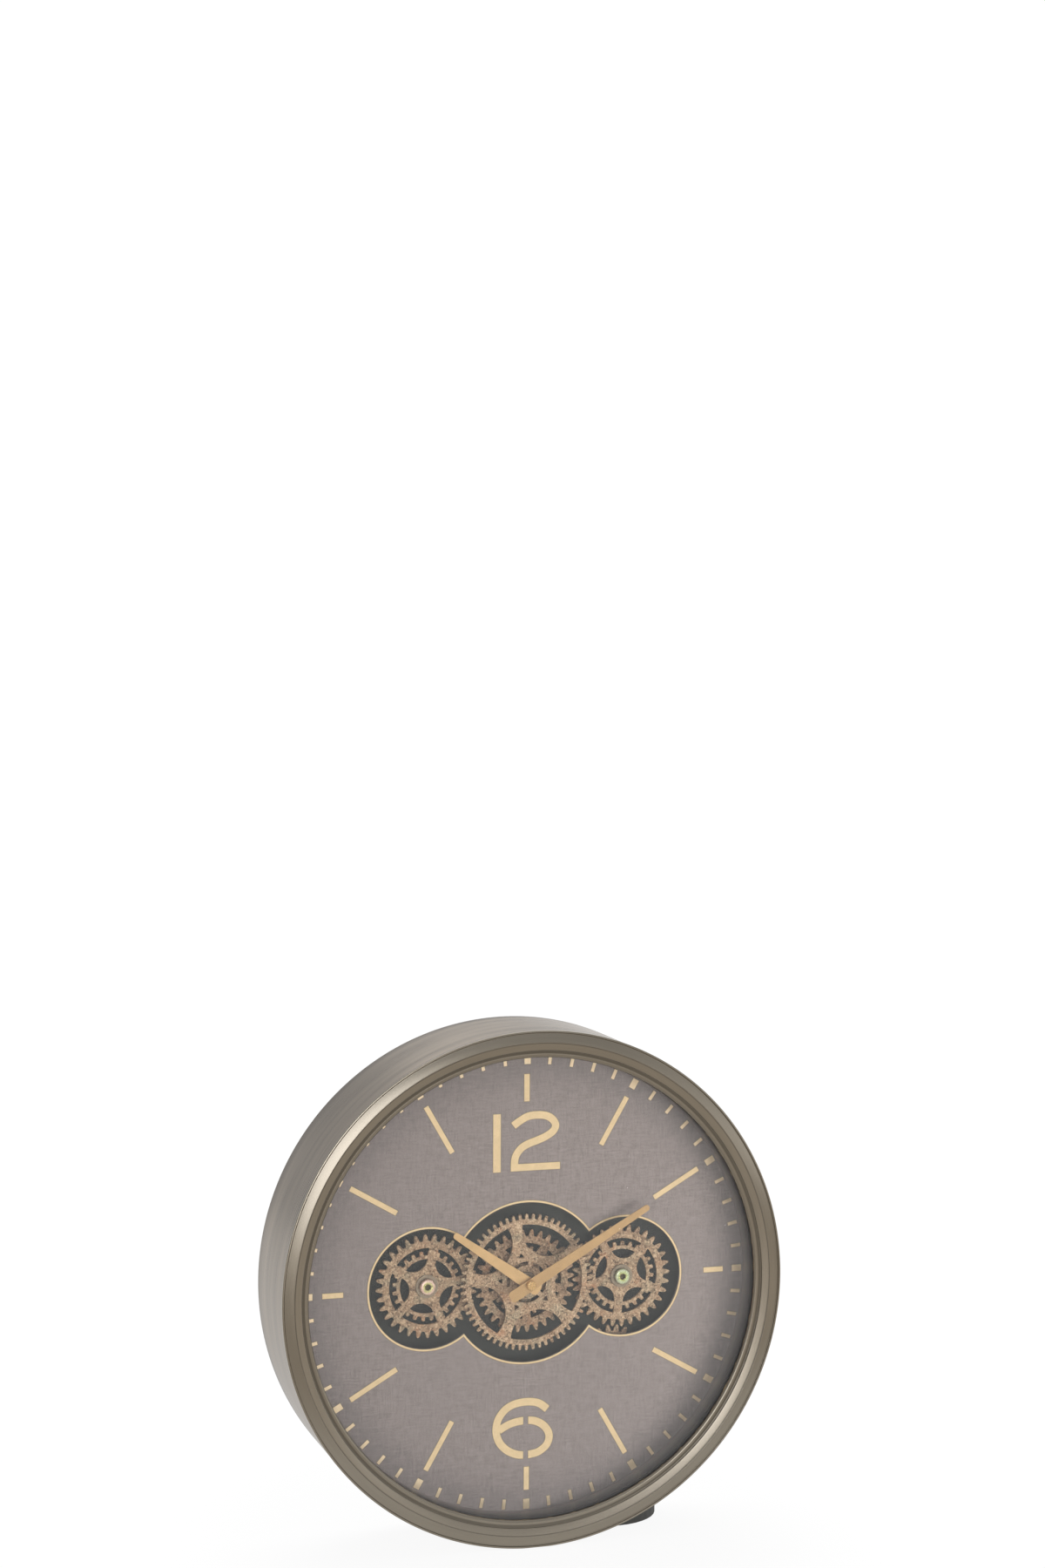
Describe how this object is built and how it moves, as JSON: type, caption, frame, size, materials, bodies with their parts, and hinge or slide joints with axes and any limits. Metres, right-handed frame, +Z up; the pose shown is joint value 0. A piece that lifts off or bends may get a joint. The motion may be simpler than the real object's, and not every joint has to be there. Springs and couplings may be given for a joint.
{
  "type": "gear clock",
  "caption": "Round table or wall clock in a deep metal drum case, with turning gears behind a three-lobed window in the dial, two hands and a battery door at the back.",
  "frame": {"origin": "under the middle of the case, on the surface the clock stands on", "axes": "+Z up, +X to the right seen from the front, +Y to the back; the dial faces -Y"},
  "size_m": [0.46, 0.1012, 0.46],
  "materials": {
    "case_metal": "brushed pewter-coloured metal",
    "glass": "clear flat glass",
    "black_rubber": "matt charcoal rubber",
    "dial_print": "matt taupe print with a fine linen weave",
    "panel": "matt dark grey-green paint",
    "aged_bronze": "aged copper-bronze paint, lightly speckled",
    "hand_gold": "satin gold paint",
    "zinc": "yellow zinc plate",
    "plain_steel": "plain turned or pressed steel",
    "brass": "turned brass",
    "black_plastic": "black moulded plastic",
    "cell_label": "grey-blue plain cell jacket",
    "lead_cover": "red insulated lead",
    "board": "dark painted hardboard"
  },
  "bodies": {
    "case": {"case_drum": "case_metal", "bezel_ring": "case_metal", "dial_spacer_ring": "case_metal", "glass_lens": "glass", "glass_gasket": "black_rubber", "case_chock": "black_rubber", "dial_plate": "dial_print", "gear_plate": "panel", "left_washer": "panel", "right_washer": "panel", "left_screw": "zinc", "right_screw": "zinc", "dial_pillar_1": "plain_steel", "dial_pillar_2": "plain_steel", "dial_pillar_3": "plain_steel", "dial_pillar_4": "plain_steel", "centre_bush": "plain_steel", "centre_clip": "plain_steel", "left_axle": "plain_steel", "right_axle": "plain_steel", "motor_screw_1": "plain_steel", "motor_screw_2": "plain_steel", "rear_screw_1": "plain_steel", "rear_screw_2": "plain_steel", "rear_screw_3": "plain_steel", "rear_screw_4": "plain_steel", "door_hinge_leaf": "plain_steel", "door_hinge_pin": "plain_steel", "hinge_screw_1": "plain_steel", "hinge_screw_2": "plain_steel", "wall_hanger": "plain_steel", "hanger_screw_1": "plain_steel", "hanger_screw_2": "plain_steel", "movement_stem": "brass", "stem_nut": "brass", "gear_motor": "black_plastic", "motor_battery_holder": "black_plastic", "gear_switch_body": "black_plastic", "movement_case": "black_plastic", "motor_cell_1": "cell_label", "motor_cell_2": "cell_label", "movement_cell": "cell_label", "motor_lead": "lead_cover", "rear_cover": "board"},
    "centre_gears": {"centre_ring_gear": "aged_bronze", "centre_rear_gear": "aged_bronze", "centre_hub": "brass"},
    "left_gears": {"left_gear": "aged_bronze"},
    "right_gears": {"right_gear": "aged_bronze"},
    "drive": {"drive_gear": "aged_bronze", "drive_shaft": "plain_steel"},
    "minute": {"minute_hand": "hand_gold", "minute_arbor": "plain_steel", "hand_nut": "hand_gold"},
    "hour": {"hour_hand": "hand_gold", "hour_pipe": "brass"},
    "setting": {"set_knob": "black_plastic"},
    "switch": {"gear_switch_slider": "black_plastic"},
    "door": {"rear_door": "board", "door_knob": "plain_steel"}
  },
  "joints": [
    {"name": "centre_gear_spin", "type": "hinge", "parent": "case", "child": "centre_gears", "pos_m": [0, -0.0143, 0.23], "axis": [0, 1, 0], "continuous": true},
    {"name": "left_gear_spin", "type": "hinge", "parent": "case", "child": "left_gears", "pos_m": [-0.0912, -0.0096, 0.2312], "axis": [0, 1, 0], "continuous": true},
    {"name": "right_gear_spin", "type": "hinge", "parent": "case", "child": "right_gears", "pos_m": [0.0912, -0.0096, 0.2288], "axis": [0, 1, 0], "continuous": true},
    {"name": "drive_spin", "type": "hinge", "parent": "case", "child": "drive", "pos_m": [0.0825, -0.0096, 0.1552], "axis": [0, 1, 0], "continuous": true},
    {"name": "minute_hand_turn", "type": "hinge", "parent": "case", "child": "minute", "pos_m": [0, -0.0286, 0.23], "axis": [0, 1, 0], "continuous": true},
    {"name": "hour_hand_turn", "type": "hinge", "parent": "case", "child": "hour", "pos_m": [0, -0.0256, 0.23], "axis": [0, 1, 0], "continuous": true},
    {"name": "set_knob_turn", "type": "hinge", "parent": "case", "child": "setting", "pos_m": [0, 0.021, 0.24], "axis": [0, 1, 0], "continuous": true},
    {"name": "gear_switch_slide", "type": "slide", "parent": "case", "child": "switch", "axis": [1, 0, 0], "range_m": [0, 0.005]},
    {"name": "door_hinge", "type": "hinge", "parent": "case", "child": "door", "pos_m": [-0.116, 0.0464, 0.204], "axis": [0, 0, 1], "range_deg": [0, 110]}
  ],
  "couplings": [
    {"joint": "left_gear_spin", "follows": "centre_gear_spin", "ratio": -1},
    {"joint": "right_gear_spin", "follows": "centre_gear_spin", "ratio": -1},
    {"joint": "drive_spin", "follows": "centre_gear_spin", "ratio": 1.6},
    {"joint": "hour_hand_turn", "follows": "minute_hand_turn", "ratio": 0.083333},
    {"joint": "set_knob_turn", "follows": "minute_hand_turn", "ratio": -1}
  ]
}
